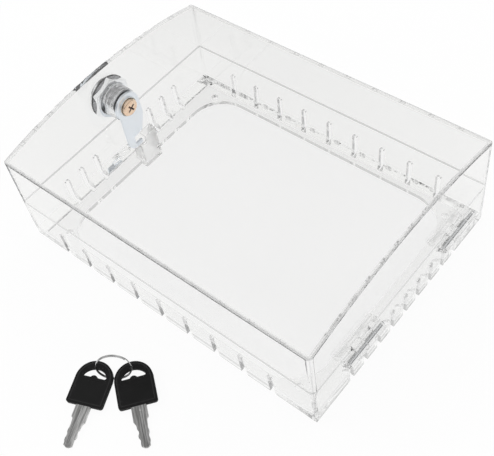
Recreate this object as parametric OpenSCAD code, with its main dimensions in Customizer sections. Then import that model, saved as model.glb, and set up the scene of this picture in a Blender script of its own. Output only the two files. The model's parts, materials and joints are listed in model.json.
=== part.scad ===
// Clear lock box that screws to a wall over a thermostat. The tray is a ring
// round the thermostat, the arched lid swings on two pins at its right end, and
// a cam lock in its left end holds it shut. Two keys on a ring lie in front.
// The origin is on the wall, midway between the four screw holes.
// X runs from the lock to the hinges, Y along the short walls, Z off the wall.

/* [Box] */
// Length of the box, from the lock end to the hinge end
box_l = 210; // [190:1:230]
// Width of the box
box_w = 156.6; // [140:0.2:175]
// Height of the lid's long walls above the wall surface
side_h = 63.2; // [61:0.1:75]
// Rise of the arched top above the long walls
crown_h = 9.5; // [5:0.5:14]
// Height of the tray, where the lid meets it
split_h = 30; // [28:0.5:34]
// Thickness of the clear walls
wall = 2.5; // [2:0.1:3]
// Thickness of the tray's back flange
floor_t = 2.5; // [2:0.1:3]
// Radius of the upright outside corners
corner_r = 3; // [2:0.5:5]
// Radius of the upright inside corners
inside_r = 1; // [0.5:0.1:1.5]
// How far each tray wall leans in at its foot
lean = 0.75; // [0.1:0.05:1]
// Rounding of the lid's top edges
edge_r = 1; // [0.5:0.1:1.8]
// Gap between the closed lid and the tray
lid_gap = 0.1; // [0.05:0.05:0.5]

/* [Back opening and screws] */
// Width of the flange at the short walls
flange_x = 16.75; // [15:0.25:19]
// Width of the flange at the long walls
flange_y = 9; // [8:0.5:12]
// Corner radius of the opening
opening_r = 21; // [21:0.5:26]
// Distance of the screw holes from the short sides of the box
screw_in_x = 19; // [17:0.5:21]
// Distance of the screw holes from the long sides of the box
screw_in_y = 12.3; // [10:0.1:13]
// Radius of the screw holes
screw_r = 2.2; // [1.5:0.1:2.5]

/* [Vents] */
// Number of vents in each long wall
long_vents = 9; // [3:2:9]
// Spacing of the vents in the long walls
long_pitch = 19.1; // [12:0.1:20]
// Number of vents in the hinge wall
short_vents = 9; // [3:2:9]
// Spacing of the vents in the short walls
short_pitch = 11.9; // [9:0.1:12]
// Number of vents left out at the middle of the lock wall
keeper_vents = 3; // [3:2:5]
// Width of one vent
vent_w = 3.5; // [2:0.1:4]
// Height of the vents up the wall
vent_h = 18.5; // [12:0.5:22]
// How far the vents reach in across the flange from a long wall's face
long_reach = 5; // [4:0.1:6]
// How far the vents reach in across the flange from a short wall's face
short_reach = 8.6; // [6:0.1:10]
// Height of the slope between the walls and the flange
slope_h = 5; // [2:0.5:7]
// Depth of that slope at the short walls
slope_x = 5; // [2:0.5:7]
// Depth of that slope at the long walls
slope_y = 2.5; // [1:0.5:4]

/* [Hinges] */
// Distance of each hinge's middle from the nearer long side of the box
hinge_in = 36.8; // [24:0.1:48]
// Width of one knuckle
knuckle_w = 7.1; // [5:0.1:9]
// Number of knuckles in a hinge, half on the tray and half on the lid
knuckles = 4; // [4:2:6]
// Gap between neighbouring knuckles
knuckle_gap = 0.3; // [0.2:0.05:0.5]
// Radius of a knuckle
knuckle_r = 2.9; // [2.4:0.1:4]
// Height of a knuckle's web on its wall, from the hinge line
leaf_h = 5; // [3.5:0.5:7]
// Gap between a knuckle and the wall of the other half
knuckle_clear = 0.3; // [0.2:0.05:0.6]
// Radius of a hinge pin
pin_r = 1.1; // [0.8:0.05:1.5]
// How far a pin stays short of each end of its hinge
pin_in = 0.6; // [0.2:0.1:1.5]
// Running gap round a pin in the lid's knuckles
pin_run = 0.06; // [0.02:0.01:0.1]
// Gap round a pin in the tray's knuckles
pin_fit = 0.02; // [0.01:0.01:0.05]

/* [Lock body] */
// Sideways place of the lock's axis
lock_y = -1.5; // [-4:0.5:4]
// Distance of the lock's axis below the top of the long walls
lock_down = 12.6; // [10.2:0.1:14.2]
// Radius of the threaded barrel
barrel_r = 9.5; // [9:0.1:10]
// Distance of the barrel's two side flats from its axis
flat_h = 8.25; // [8:0.05:8.6]
// Length of the barrel inside the lid
barrel_in = 14; // [11:0.1:16]
// Gap round the barrel in the lid's hole
barrel_fit = 0.15; // [0.05:0.05:0.4]
// Pitch of the thread
thread_pitch = 1; // [0.7:0.05:1.3]
// Depth of the thread
thread_d = 0.4; // [0.2:0.05:0.6]
// Radius of the flange outside the lid
bezel_r = 11.5; // [11:0.1:13]
// Thickness of that flange
bezel_t = 1.5; // [1:0.1:2.5]
// Radius of the lock's nose
nose_r = 10; // [9.5:0.1:10.5]
// How far the lock stands out of the wall
nose_l = 3.6; // [3:0.1:5]
// Thickness of the ring under the nut
ring_t = 1; // [0.6:0.1:1.5]
// Radius of the ring under the nut
ring_r = 13.2; // [13:0.1:15]
// Width of the nut across its flats
nut_af = 23.5; // [23:0.5:26]
// Thickness of the nut
nut_t = 3.8; // [3:0.1:5]
// Gap round the barrel in the nut and the ring
nut_fit = 0.05; // [0.02:0.01:0.2]

/* [Plug and wafers] */
// Radius of the plug
plug_r = 6.25; // [5.8:0.05:6.4]
// Running gap round the plug
plug_run = 0.06; // [0.02:0.01:0.1]
// Radius of the plug's front rim
rim_r = 7.5; // [7.2:0.1:8]
// Thickness of the plug's front rim
rim_t = 1.5; // [1:0.1:2]
// Height of the keyway
keyway_h = 8.2; // [7.8:0.1:8.6]
// Width of the keyway
keyway_w = 2.3; // [2.2:0.1:2.5]
// Depth of the keyway
keyway_d = 16; // [15.5:0.1:16.2]
// Thickness of a wafer
wafer_t = 1; // [0.6:0.1:1.2]
// Width of a wafer
wafer_w = 6.4; // [6:0.1:7]
// Spacing of the wafers
wafer_pitch = 2.3; // [2:0.1:2.4]
// Place of the first wafer behind the plug's face
wafer_in = 5.2; // [4.5:0.1:6]
// Gap round a wafer in its slot
wafer_fit = 0.06; // [0.03:0.01:0.1]
// Radius of a wafer spring
spring_r = 0.45; // [0.3:0.05:0.5]
// Length of a wafer spring
spring_l = 3; // [2:0.1:3.5]
// Depth of the grooves in the housing that the wafers lock into
groove_d = 1.2; // [0.8:0.1:1.4]

/* [Cam] */
// Width of the plug's square end, across its flats
square_af = 6.6; // [6:0.1:7]
// Gap round the square end
square_fit = 0.05; // [0.02:0.01:0.1]
// Thickness of the stop washer
stop_t = 0.8; // [0.5:0.1:1.2]
// Gap between the barrel's end and the stop washer
stop_gap = 0.1; // [0.05:0.05:0.3]
// Radius at which the stop washer's tab runs
stop_r = 7.3; // [7.2:0.05:7.4]
// Length of that tab into the barrel
tab_l = 1; // [0.6:0.1:1.5]
// Thickness of that tab
stop_tab_t = 0.8; // [0.6:0.1:1]
// Width of that tab
stop_tab_w = 1.6; // [1.2:0.1:2]
// Gap on each side of the tab in its groove
stop_run = 0.2; // [0.1:0.05:0.3]
// Angle that the cam turns from the rest place to locked
lock_turn = 10; // [8:1:10]
// Angle that the cam turns from the rest place to open
open_turn = 80; // [70:1:85]
// Thickness of the cam
cam_t = 1.6; // [1.2:0.1:2]
// Radius of the cam's round end
hub_r = 8.9; // [8.5:0.1:9.5]
// Distance of the cam's straight edge from the lock's axis
cam_edge = 7; // [6.5:0.1:7.5]
// Distance of the cam's other edge from the lock's axis, where it is widest
shoulder_w = 9.2; // [8.8:0.1:9.6]
// Distance from the axis at which that edge starts to draw in
shoulder_l = 12.2; // [11:0.1:13]
// Distance from the axis at which it draws in faster
waist_l = 18; // [16:0.1:20]
// Distance of that edge from the lock's middle line there
waist_w = 7.2; // [6.5:0.1:7.8]
// Distance from the axis at which the neck starts
neck_l = 23.6; // [22.5:0.1:24.5]
// Distance of the corner over the neck from that line
corner_w = 5.2; // [4.5:0.1:5.6]
// Rounding of the cam's foot
foot_r = 5.8; // [4:0.1:6.2]
// Where the cam's neck ends on the hook side, measured from the axis
neck_y = -1.8; // [-2.4:0.1:-1.8]
// Where the hook ends, measured from the axis
hook_y = 3.5; // [2.5:0.1:3.5]
// Depth of the hook along the cam
hook_t = 2.6; // [2:0.1:3]
// Thickness of the washer under the screw
washer_t = 0.7; // [0.4:0.1:1]
// Radius of that washer
washer_r = 6.2; // [6:0.1:7]
// Radius of the screw's head
head_r = 5.25; // [4.8:0.05:5.8]
// Height of the screw's head
head_h = 2.2; // [1.8:0.1:2.8]
// Radius of the screw's shank
shank_r = 2.05; // [1.8:0.05:2.3]
// Length of the screw's shank under its head
shank_l = 5.4; // [4.5:0.1:5.5]

/* [Keeper] */
// Height of the keeper's top
keeper_h = 23.8; // [22:0.1:25]
// Width of the keeper
keeper_w = 13.8; // [12.5:0.1:16]
// Distance of the keeper's near side from the lock's axis
keeper_in = -0.9; // [-2:0.1:0]
// Thickness of the keeper's walls
keeper_t = 1.5; // [1.2:0.1:2]
// Thickness of the ledge that holds the hook
ledge_t = 1.8; // [1.2:0.1:2.2]
// Sideways gap between the resting hook and the ledge
ledge_gap = 0.5; // [0.3:0.1:1]
// Height that the hook has free under the ledge
hook_free = 1.8; // [1.6:0.1:2.4]
// Height that the hook clears the keeper's low wall by
sill_gap = 0.6; // [0.4:0.1:1]
// Gap between the cam and the keeper's front
keeper_gap = 1.1; // [0.8:0.1:2]
// Depth of the keeper's side walls at their foot
keeper_d = 8.8; // [8:0.1:10]
// How much shorter those walls are at their top
keeper_rake = 3.4; // [2:0.1:3.6]

/* [Keys] */
// Width of a key's head
head_w = 20.6; // [20:0.1:21]
// Length of the head
head_l = 25; // [24.5:0.1:25.5]
// Thickness of the head
head_t = 2.2; // [2:0.1:2.4]
// Rounding of the head's lower corners
head_corner_r = 1.5; // [1:0.1:2]
// Depth of the sunk panel on each face of the head
panel_d = 0.15; // [0.1:0.05:0.2]
// Width of the rim round that panel
panel_rim = 1.4; // [0.8:0.1:1.8]
// Radius of the arc over the hole in the head
hole_r = 7.6; // [7.3:0.1:7.7]
// Distance of that arc from the top of the head
arc_in = 4.3; // [4:0.1:4.6]
// Distance of the hole's straight side from the top of the head
hole_in = 9.3; // [9.1:0.1:9.5]
// Length of the blade
blade_l = 22.5; // [21.5:0.5:23]
// Width of the blade at the head
blade_w = 8; // [7:0.1:8]
// Width of the cut part of the blade
cut_w = 6; // [5.4:0.1:6.2]
// Length of the wide part of the blade
stem_l = 7.5; // [6:0.5:8]
// Thickness of the blade
blade_t = 1.6; // [1.4:0.1:1.8]
// Width of the groove along each face of the blade
groove_w = 1.3; // [0.8:0.1:1.6]
// Length of the blade's tang inside the head
tang_l = 9; // [6:0.5:11]
// Thickness of the tang
tang_t = 1; // [0.8:0.1:1.2]
// Gap round the tang
tang_fit = 0.03; // [0.02:0.01:0.1]
// Width of the tang
tang_w = 5.6; // [4:0.1:6.5]
// Radius of the ring's wire
wire_r = 0.4; // [0.3:0.05:0.45]
// Radius of the ring
key_ring_r = 9.3; // [9.2:0.1:9.4]
// Place of the ring's middle along the box
ring_x = 4.25; // [-60:0.05:60]
// Distance of the ring's middle from the near side of the box
ring_out = 40.2; // [30:0.1:60]
// Place of the left key's head from the ring's middle
left_from_ring = [-0.95, -23.6]; // [-30:0.05:30]
// Place of the right key's head from the ring's middle
right_from_ring = [22.45, -6.5]; // [-30:0.05:30]

/* [Hidden] */
$fn = 64;
// Overshoot of a cut past the face it goes through
cut = 1;

// Places of the main faces
x_end = box_l / 2;
y_end = box_w / 2;
wall_in = -x_end + wall;
open_x = x_end - flange_x;
open_y = y_end - flange_y;
hinge_y = y_end - hinge_in;
screw_x = x_end - screw_in_x;
screw_y = y_end - screw_in_y;

// The arched top is part of a large drum that lies along X
drum_r = (y_end * y_end + crown_h * crown_h) / (2 * crown_h);
drum_z = side_h + crown_h - drum_r;
drum_fn = 720;

// Hinge line
hinge_x = x_end + knuckle_r + knuckle_clear;
hinge_z = split_h + lid_gap / 2;
hinge_l = knuckle_w * knuckles;

// The lock's height, its length, and places along its axis from its face inwards
lock_z = side_h - lock_down;
body_l = nose_l + wall + barrel_in;
nose_x = -x_end - nose_l;
barrel_x = wall_in + barrel_in;
stop_x = barrel_x + stop_gap;
cam_x = stop_x + stop_t;
washer_x = cam_x + cam_t;
screw_x0 = washer_x + washer_t;

// Ears of the wafers, each with its spring under the middle
ear_w = 1.7;
ear_h = 1.1;
spring_y = wafer_w / 2 + ear_w / 2;

// Radius to which the corners of the plug's square end are turned down
square_r = 0.62 * square_af;

// Heights that the cam and the keeper share
ledge_z = keeper_h - ledge_t;
hook_in_r = lock_z - ledge_z + hook_free;
hook_out_r = hook_in_r + hook_t;
sill_z = lock_z - hook_out_r - sill_gap;
keeper_x = washer_x + keeper_gap;
keeper_y = lock_y + keeper_in;
ledge_y = lock_y + hook_y + ledge_gap;

// How the keys lie, held up by the ring under their heads
key_pitch = 5;
key_z = blade_l * sin(key_pitch) - (head_t - blade_t) / 2 * cos(key_pitch);
ring_y = -y_end - ring_out;
left_turn = 22.6;
right_turn = 52.5;
left_cuts = [0.2, 0.8, 0.3, 1, 0.9];
right_cuts = [0.3, 0, 0.5, 0.2, 0.6];
ring_turn = 40;
ring_tilt = 80;
turn_gap = 0.9 * wire_r;

clear_plastic = [0.86, 0.9, 0.92, 0.45];
zinc = [0.74, 0.75, 0.76];
nickel = [0.6, 0.6, 0.6];
black = [0.13, 0.13, 0.13];

// Rectangle with round corners about the origin
module round_rect(l, w, r) {
    union() {
        square([l - 2 * r, w], center = true);
        square([l, w - 2 * r], center = true);
        for (x = [-1, 1], y = [-1, 1])
            translate([x * (l / 2 - r), y * (w / 2 - r)]) circle(r);
    }
}

// Block whose four walls lean in by lean between its top and the wall surface
module tray_block(inset, r, z0) {
    l = box_l / 2 - inset;
    w = box_w / 2 - inset;
    intersection() {
        translate([0, 0, z0])
            linear_extrude(height = split_h - z0 + (z0 > 0 ? cut : 0)) round_rect(2 * l, 2 * w, r);
        rotate([90, 0, 0]) linear_extrude(height = 2 * box_w, center = true) leaning(l);
        rotate([90, 0, 90]) linear_extrude(height = 2 * box_l, center = true) leaning(w);
    }
}

// Cross section of that block, half as wide as given at the tray's rim
module leaning(half) {
    slope = lean / split_h;
    polygon([[-half + lean, 0], [half - lean, 0],
        [half + slope * cut, split_h + cut], [-half - slope * cut, split_h + cut]]);
}

// One L shaped vent. The wall's face is at the origin and +Y points into the box
module vent(reach) {
    r = vent_w / 2;
    past = 0.2;
    deep = cut + wall + lean + past;
    translate([-r, -cut, -cut]) cube([vent_w, deep, vent_h - r + cut]);
    translate([0, -cut, vent_h - r]) rotate([-90, 0, 0]) cylinder(r = r, h = deep);
    translate([-r, -cut, -cut]) cube([vent_w, cut + reach - r, floor_t + slope_h + 2 * cut]);
    translate([0, reach - r, -cut]) cylinder(r = r, h = floor_t + slope_h + 2 * cut);
}

module all_vents() {
    for (i = [0 : long_vents - 1], side = [0, 180])
        rotate([0, 0, side])
            translate([(i - (long_vents - 1) / 2) * long_pitch, -y_end, 0]) vent(long_reach);
    for (i = [0 : short_vents - 1]) {
        place = i - (short_vents - 1) / 2;
        rotate([0, 0, 90]) translate([place * short_pitch, -x_end, 0]) vent(short_reach);
        if (abs(place) > keeper_vents / 2)
            rotate([0, 0, -90]) translate([place * short_pitch, -x_end, 0]) vent(short_reach);
    }
}

// Sloping strips where the walls meet the flange
module slopes() {
    l = box_l / 2 - wall - lean / 2;
    w = box_w / 2 - wall - lean / 2;
    for (side = [-1, 1]) {
        rotate([90, 0, 0]) linear_extrude(height = 2 * w, center = true)
            polygon([[side * (l - slope_x), floor_t], [side * (l + 1), floor_t],
                [side * (l + 1), floor_t + slope_h], [side * l, floor_t + slope_h]]);
        rotate([90, 0, 90]) linear_extrude(height = 2 * l, center = true)
            polygon([[side * (w - slope_y), floor_t], [side * (w + 1), floor_t],
                [side * (w + 1), floor_t + slope_h], [side * w, floor_t + slope_h]]);
    }
}

// Every second knuckle of one hinge, from the one numbered first. The webs run up the
// lid's wall where up is 1, and down the tray's wall where it is -1
module knuckle_row(first, middle, up) {
    w = knuckle_w - knuckle_gap;
    web_in = wall / 2 + knuckle_r + knuckle_clear;
    web_out = knuckle_r + knuckle_clear;
    for (i = [first : 2 : knuckles - 1])
        translate([hinge_x, middle - hinge_l / 2 + i * knuckle_w + knuckle_gap / 2, hinge_z]) {
            rotate([-90, 0, 0]) cylinder(r = knuckle_r, h = w);
            translate([0, w, 0]) rotate([90, 0, 0]) linear_extrude(height = w)
                polygon([[-web_in, up * lid_gap / 2], [0, up * lid_gap / 2], [0, up * knuckle_r],
                    [-web_out, up * leaf_h], [-web_in, up * leaf_h]]);
        }
}

module pin_bore(middle, r) {
    translate([hinge_x, middle - hinge_l / 2 - cut, hinge_z]) rotate([-90, 0, 0])
        cylinder(r = r, h = hinge_l + 2 * cut);
}

module base_tray() {
    color(clear_plastic) difference() {
        union() {
            difference() {
                tray_block(0, corner_r, 0);
                tray_block(wall, inside_r, floor_t);
            }
            intersection() {
                slopes();
                tray_block(wall / 2, inside_r, 0);
            }
            for (side = [-1, 1]) knuckle_row(0, side * hinge_y, -1);
        }
        difference() {
            translate([0, 0, -cut]) linear_extrude(height = floor_t + slope_h + 2 * cut)
                round_rect(2 * open_x, 2 * open_y, opening_r);
            translate([-open_x - cut, keeper_y, -2 * cut])
                cube([keeper_x + keeper_t + open_x + cut, keeper_w, floor_t + 2 * cut]);
        }
        for (x = [-1, 1], y = [-1, 1])
            translate([x * screw_x, y * screw_y, -cut])
                cylinder(r = screw_r, h = floor_t + slope_h + 2 * cut);
        all_vents();
        for (side = [-1, 1]) pin_bore(side * hinge_y, pin_r + pin_fit);
    }
}

// Side wall of the keeper from y0, with its back edge raked
module keeper_side(y0, top) {
    front = keeper_x + keeper_t;
    translate([0, y0 + keeper_t, 0]) rotate([90, 0, 0]) linear_extrude(height = keeper_t)
        polygon([[front, floor_t], [front, top],
            [front - keeper_d + keeper_rake * (top - floor_t) / (keeper_h - floor_t), top],
            [front - keeper_d, floor_t]]);
}

module latch_keeper() {
    color(clear_plastic) union() {
        translate([keeper_x, keeper_y, floor_t]) cube([keeper_t, keeper_w, sill_z - floor_t]);
        translate([keeper_x, ledge_y, floor_t])
            cube([keeper_t, keeper_y + keeper_w - ledge_y, keeper_h - floor_t]);
        keeper_side(keeper_y, sill_z);
        keeper_side(keeper_y + keeper_w - keeper_t, keeper_h);
        translate([keeper_x + keeper_t - keeper_d + keeper_rake, ledge_y, ledge_z])
            cube([keeper_d - keeper_rake, keeper_y + keeper_w - ledge_y, ledge_t]);
    }
}

module hinge_pin(middle) {
    l = hinge_l - 2 * pin_in;
    bevel = 0.3;
    color(zinc) translate([hinge_x, middle - l / 2, hinge_z]) rotate([-90, 0, 0]) rotate_extrude()
        polygon([[0, 0], [pin_r - bevel, 0], [pin_r, bevel], [pin_r, l - bevel],
            [pin_r - bevel, l], [0, l]]);
}

// Drum that gives the lid its arched top, with rounded rims
module drum(inset, r) {
    l = box_l - 2 * inset;
    big = drum_r - inset;
    translate([-l / 2, 0, drum_z]) rotate([0, 90, 0]) rotate_extrude($fn = drum_fn) union() {
        square([big - r, l]);
        translate([0, r]) square([big, l - 2 * r]);
        for (y = [r, l - r]) translate([big - r, y]) circle(r, $fn = 32);
    }
}

// Cutter that rounds the edge between the arched top and a long wall
module long_edge() {
    y = y_end - edge_r;
    z = drum_z + sqrt(pow(drum_r - edge_r, 2) - y * y);
    tilt = asin(y / (drum_r - edge_r));
    far = 4 * edge_r;
    rotate([90, 0, 90]) linear_extrude(height = box_l + 2 * cut, center = true)
        translate([y, z]) difference() {
            polygon([[0, 0], [far, 0], [far, far], [far * sin(tilt), far * cos(tilt)]]);
            circle(edge_r, $fn = 32);
        }
}

module lid_shell() {
    z0 = split_h + lid_gap;
    color(clear_plastic) difference() {
        union() {
            intersection() {
                translate([0, 0, z0]) linear_extrude(height = side_h + crown_h)
                    round_rect(box_l, box_w, corner_r);
                drum(0, edge_r);
            }
            for (side = [-1, 1]) knuckle_row(1, side * hinge_y, 1);
        }
        intersection() {
            translate([0, 0, z0 - cut]) linear_extrude(height = side_h + crown_h)
                round_rect(box_l - 2 * wall, box_w - 2 * wall, inside_r);
            translate([-box_l / 2, 0, drum_z]) rotate([0, 90, 0])
                cylinder(r = drum_r - wall, h = box_l, $fn = drum_fn);
        }
        long_edge();
        mirror([0, 1, 0]) long_edge();
        along_lock(-x_end - cut) linear_extrude(height = wall + 2 * cut)
            flatted(barrel_r + barrel_fit, flat_h + barrel_fit);
        for (side = [-1, 1]) pin_bore(side * hinge_y, pin_r + pin_run);
    }
}

// Puts what is drawn along +Z on the lock's axis, with the drawing's -X side up
module along_lock(x) {
    translate([x, lock_y, lock_z]) rotate([0, 90, 0]) children();
}

// Circle with two flats, on the near and far side of the lock's axis
module flatted(r, h) {
    intersection() {
        circle(r);
        square([3 * r, 2 * h], center = true);
    }
}

// Barrel outline with its thread, as turned, from the bezel to its inner end
function thread_points(z0, z1) = [for (i = [0 : floor((z1 - z0) / thread_pitch) - 1])
    each [[barrel_r, z0 + (i + 0.15) * thread_pitch], [barrel_r, z0 + (i + 0.45) * thread_pitch],
        [barrel_r - thread_d, z0 + (i + 0.7) * thread_pitch],
        [barrel_r - thread_d, z0 + (i + 0.9) * thread_pitch]]];

module lock_housing() {
    bevel = 0.6;
    run_out = 0.2;
    groove_w = wafer_w + 2 * 0.2;
    bore = plug_r + plug_run;
    color(zinc) along_lock(nose_x) difference() {
        union() {
            rotate_extrude() polygon([[0, 0], [nose_r - bevel, 0], [nose_r, bevel],
                [nose_r, nose_l - bezel_t], [bezel_r - bevel, nose_l - bezel_t],
                [bezel_r, nose_l - bezel_t + bevel], [bezel_r, nose_l], [0, nose_l]]);
            intersection() {
                rotate_extrude() polygon(concat([[0, nose_l / 2], [barrel_r, nose_l / 2]],
                    thread_points(nose_l + wall, body_l - run_out),
                    [[barrel_r, body_l], [0, body_l]]));
                linear_extrude(height = body_l) square([3 * barrel_r, 2 * flat_h], center = true);
            }
        }
        translate([0, 0, -cut]) cylinder(r = bore, h = body_l + 2 * cut);
        translate([0, 0, -cut]) cylinder(r = rim_r + plug_run, h = cut + rim_t + plug_run);
        translate([-bore - groove_d, -groove_w / 2, rim_t + cut])
            cube([2 * (bore + groove_d), groove_w, wafer_in + 5 * wafer_pitch - rim_t]);
        stop_groove();
    }
}

// Groove in the barrel's end that the stop washer's tab runs in. Its two ends stop the tab
module stop_groove() {
    half = stop_tab_t / 2 + stop_run;
    spare = asin(stop_tab_w / 2 / (stop_r - stop_tab_t / 2)) + 1;
    translate([0, 0, body_l - tab_l - 2 * stop_gap]) rotate([0, 0, -open_turn - spare])
        rotate_extrude(angle = open_turn + lock_turn + 2 * spare)
            translate([stop_r - half, 0]) square([2 * half, tab_l + cut]);
}

module lock_washer() {
    color(zinc) along_lock(wall_in) difference() {
        cylinder(r = ring_r, h = ring_t);
        translate([0, 0, -cut]) cylinder(r = barrel_r + nut_fit, h = ring_t + 2 * cut);
    }
}

module lock_nut() {
    bevel = 0.9;
    nut_turn = 52;
    mouth = 0.8;
    face_r = nut_af / 2 - 0.2;
    point_r = nut_af / sqrt(3);
    cone_r = point_r + 0.1;
    color(zinc) along_lock(wall_in + ring_t) difference() {
        intersection() {
            rotate([0, 0, nut_turn]) cylinder(r = point_r, h = nut_t, $fn = 6);
            rotate_extrude() polygon([[0, 0], [cone_r, 0], [cone_r, nut_t - bevel],
                [face_r, nut_t], [0, nut_t]]);
        }
        translate([0, 0, -cut]) cylinder(r = barrel_r + nut_fit, h = nut_t + 2 * cut);
        translate([0, 0, nut_t - mouth])
            cylinder(r1 = barrel_r + nut_fit, r2 = barrel_r + nut_fit + 2 * mouth, h = 2 * mouth);
    }
}

// Place of a wafer's middle behind the plug's face
function wafer_z(i) = wafer_in + i * wafer_pitch;

// Outline of a wafer, or of its slot in the plug with a gap all round
module wafer_outline(gap) {
    union() {
        square([3 * plug_r, wafer_w + 2 * gap], center = true);
        translate([-spring_l / 2 - ear_h - gap, 0])
            square([ear_h + 2 * gap, wafer_w / 2 + ear_w + gap]);
    }
}

module lock_plug() {
    end_in = 0.1;
    bore_spare = 0.3;
    end_l = body_l + stop_gap + stop_t + cam_t - end_in;
    color(nickel) along_lock(nose_x) difference() {
        union() {
            cylinder(r = rim_r, h = rim_t);
            cylinder(r = plug_r, h = body_l);
            intersection() {
                translate([-square_af / 2, -square_af / 2, 0]) cube([square_af, square_af, end_l]);
                cylinder(r = square_r, h = end_l);
            }
        }
        translate([-keyway_h / 2, -keyway_w / 2, -cut]) cube([keyway_h, keyway_w, cut + keyway_d]);
        for (i = [0 : 4]) {
            translate([0, 0, wafer_z(i) - wafer_t / 2 - wafer_fit])
                linear_extrude(height = wafer_t + 2 * wafer_fit) wafer_outline(wafer_fit);
            translate([-spring_l / 2, spring_y, wafer_z(i)]) rotate([0, 90, 0])
                cylinder(r = spring_r + wafer_fit, h = spring_l + wafer_fit, $fn = 24);
        }
        translate([0, 0, end_l + end_in + washer_t - shank_l - bore_spare])
            cylinder(r = shank_r + nut_fit, h = shank_l + cut);
    }
}

// One wafer, drawn back into the plug as the right key holds it
module wafer(i) {
    window_h = keyway_h + 0.3;
    color([0.85, 0.7, 0.4]) along_lock(nose_x + wafer_z(i) - wafer_t / 2)
        linear_extrude(height = wafer_t) difference() {
            intersection() {
                wafer_outline(0);
                circle(plug_r - wafer_fit);
            }
            square([window_h, keyway_w + 0.2], center = true);
        }
}

module wafer_springs() {
    color(zinc) for (i = [0 : 4])
        along_lock(nose_x + wafer_z(i)) translate([-spring_l / 2, spring_y, 0]) rotate([0, 90, 0])
            cylinder(r = spring_r, h = spring_l, $fn = 24);
}

// Square hole for the plug's end, with its corners cut as the plug's are
module square_hole() {
    intersection() {
        square(square_af + 2 * square_fit, center = true);
        circle(square_r + square_fit);
    }
}

module stop_washer() {
    rim = 0.6;
    color(zinc) along_lock(stop_x) union() {
        linear_extrude(height = stop_t) difference() {
            circle(hub_r - rim);
            square_hole();
        }
        translate([stop_r - stop_tab_t / 2, -stop_tab_w / 2, -tab_l])
            cube([stop_tab_t, stop_tab_w, tab_l + stop_t / 2]);
    }
}

// Outline of the cam as seen from inside the box, about the lock's axis
module cam_outline() {
    foot_x = -cam_edge + foot_r;
    foot_y = -sqrt(pow(hook_out_r - foot_r, 2) - foot_x * foot_x);
    far = 3 * foot_r;
    difference() {
        intersection() {
            circle(hook_out_r, $fn = 180);
            union() {
                circle(hub_r);
                polygon([[-cam_edge, 0], [hub_r, 0], [shoulder_w, -shoulder_l / 2],
                    [shoulder_w, -shoulder_l], [waist_w, -waist_l], [corner_w, -neck_l],
                    [neck_y, -neck_l - 1], [neck_y, -hook_out_r - cut],
                    [-cam_edge, -hook_out_r - cut]]);
                difference() {
                    translate([neck_y - cut, -hook_out_r - cut])
                        square([hook_y - neck_y + cut, 3 * hook_t]);
                    circle(hook_in_r, $fn = 180);
                }
            }
        }
        translate([foot_x, foot_y]) difference() {
            polygon([[0, 0], [-far, 0], [-far, -far], far / (hook_out_r - foot_r) * [foot_x, foot_y]]);
            circle(foot_r);
        }
        square_hole();
    }
}

module lock_cam() {
    color([0.8, 0.84, 0.9]) along_lock(cam_x) rotate([0, 0, 90])
        linear_extrude(height = cam_t) cam_outline();
}

module cam_washer() {
    color(nickel) along_lock(washer_x) difference() {
        cylinder(r = washer_r, h = washer_t);
        translate([0, 0, -cut]) cylinder(r = shank_r + nut_fit, h = washer_t + 2 * cut);
    }
}

module cam_screw() {
    slot_l = 5.6;
    slot_w = 1.1;
    slot_d = 1.3;
    dome = 0.9;
    color([0.83, 0.62, 0.42]) along_lock(screw_x0) difference() {
        union() {
            rotate_extrude() polygon([[0, 0], [head_r, 0], [head_r, head_h - dome],
                [head_r * 0.93, head_h - dome * 0.5], [head_r * 0.8, head_h - dome * 0.15],
                [head_r * 0.62, head_h], [0, head_h]]);
            translate([0, 0, -shank_l]) cylinder(r = shank_r, h = shank_l + head_h / 4);
        }
        for (turn = [35, 125]) rotate([0, 0, turn])
            translate([-slot_l / 2, -slot_w / 2, head_h - slot_d]) cube([slot_l, slot_w, slot_d + cut]);
    }
}

// Puts a key where it lies. It is drawn flat, blade towards -Y, from the head's foot
module place_key(from_ring, turn) {
    translate([ring_x + from_ring[0], ring_y + from_ring[1], key_z])
        rotate([0, 0, turn]) rotate([key_pitch, 0, 0]) children();
}

// Outline of the head, smaller by inset all round
module head_outline(inset) {
    w = head_w / 2 - inset;
    r = max(head_corner_r - inset, 0.3);
    top = head_l - head_w / 2;
    union() {
        translate([0, top]) circle(w);
        translate([-w, inset + r]) square([2 * w, top - inset - r]);
        translate([r - w, inset]) square([2 * (w - r), top - inset]);
        for (side = [-1, 1]) translate([side * (w - r), inset + r]) circle(r);
    }
}

// Crescent hole with round tips and a bump in its straight side
module head_hole() {
    tip_r = 0.9;
    low = head_l - hole_in;
    mid = head_l - arc_in - hole_r;
    tip_x = sqrt(pow(hole_r - tip_r, 2) - pow(low + tip_r - mid, 2));
    far = 4 * tip_r;
    difference() {
        intersection() {
            translate([0, mid]) circle(hole_r);
            translate([-hole_r, low]) square([2 * hole_r, hole_r]);
        }
        translate([0, low - 1]) circle(2.2);
        for (side = [0, 1]) mirror([side, 0]) translate([tip_x, low + tip_r]) difference() {
            polygon([[0, 0], [0, -far], [far, -far],
                far / (hole_r - tip_r) * [tip_x, low + tip_r - mid]]);
            circle(tip_r);
        }
    }
}

module key_head() {
    color(black) difference() {
        linear_extrude(height = head_t) difference() {
            head_outline(0);
            head_hole();
        }
        for (z = [-cut, head_t - panel_d])
            translate([0, 0, z]) linear_extrude(height = cut + panel_d) difference() {
                head_outline(panel_rim);
                translate([-head_w, head_l - hole_in - 1.6]) square([2 * head_w, head_l]);
            }
        tang(tang_fit);
    }
}

module tang(gap) {
    translate([-tang_w / 2 - gap, -cut, (head_t - tang_t) / 2 - gap])
        cube([tang_w + 2 * gap, tang_l + cut + gap, tang_t + 2 * gap]);
}

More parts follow.
